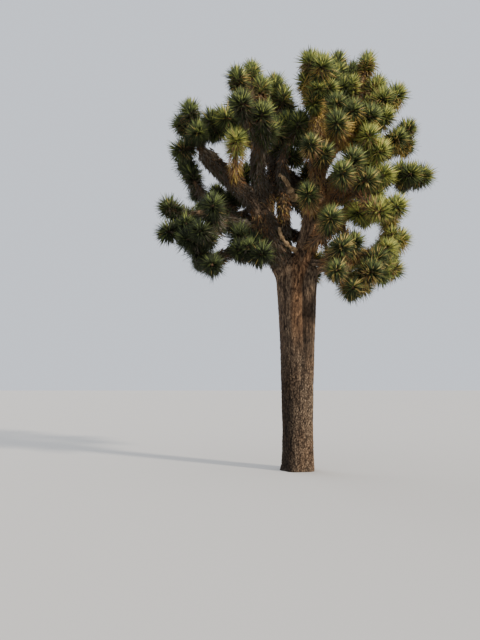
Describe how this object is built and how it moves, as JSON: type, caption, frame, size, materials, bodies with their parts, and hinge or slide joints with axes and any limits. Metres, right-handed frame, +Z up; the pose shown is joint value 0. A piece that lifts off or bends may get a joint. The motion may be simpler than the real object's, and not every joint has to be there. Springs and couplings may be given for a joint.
{
  "type": "joshua tree",
  "caption": "Whole joshua tree with a flared trunk, forking boughs and a round crown of stiff dagger-leaf rosettes, cut flat at ground level.",
  "frame": {"origin": "middle of the flat cut at the foot of the trunk, at ground level", "axes": "+Z up along the trunk, -Y toward the viewer of the picture, +X to the viewer's right"},
  "size_m": [4.8039, 3.7797, 7.4814],
  "materials": {
    "bark": "rough corky grey-brown bark",
    "bough_bark": "shaggy brown bark under dead leaves",
    "dark_leaves": "matte dark olive leaves",
    "sunlit_leaves": "matte yellow-green leaves"
  },
  "bodies": {
    "root": {"trunk": "bark", "left_leader": "bough_bark", "right_leader": "bough_bark", "back_leader": "bough_bark", "left_arm": "bough_bark", "centre_left": "bough_bark", "centre_back": "bough_bark", "left_mid_arm": "bough_bark", "left_low_arm": "bough_bark", "centre": "bough_bark", "top_stem": "bough_bark", "high_right_arm": "bough_bark", "right_high_arm": "bough_bark", "right_arm": "bough_bark", "right_near_arm": "bough_bark", "right_mid_arm": "bough_bark", "right_low_arm": "bough_bark", "low_right_arm": "bough_bark", "back_left_arm": "bough_bark", "back_right_arm": "bough_bark", "back_high_left": "bough_bark", "back_high_right": "bough_bark", "far_left_top": "dark_leaves", "left_stub": "dark_leaves", "left_near": "dark_leaves", "left_crown_outer": "dark_leaves", "left_crown_top": "dark_leaves", "left_crown_near": "dark_leaves", "left_crown_inner": "dark_leaves", "far_left": "dark_leaves", "left_mid_near": "dark_leaves", "left_mid_top": "dark_leaves", "low_left": "dark_leaves", "low_left_inner": "dark_leaves", "centre_top": "dark_leaves", "top_left": "dark_leaves", "top_right": "sunlit_leaves", "high_right_top": "sunlit_leaves", "high_right_outer": "sunlit_leaves", "high_right_near": "sunlit_leaves", "right_high": "sunlit_leaves", "right_high_near": "sunlit_leaves", "far_right": "sunlit_leaves", "right_near": "sunlit_leaves", "right_mid": "sunlit_leaves", "right_mid_far": "sunlit_leaves", "right_low": "sunlit_leaves", "low_right": "sunlit_leaves", "low_right_near": "dark_leaves", "near_low": "dark_leaves", "near_mid": "dark_leaves", "near_high": "dark_leaves", "back_left": "dark_leaves", "back_left_low": "dark_leaves", "back_right": "sunlit_leaves", "back_right_low": "sunlit_leaves", "back_crown_left": "dark_leaves", "back_crown_right": "sunlit_leaves", "back_crown_mid": "dark_leaves", "back_mid": "dark_leaves"}
  },
  "joints": []
}
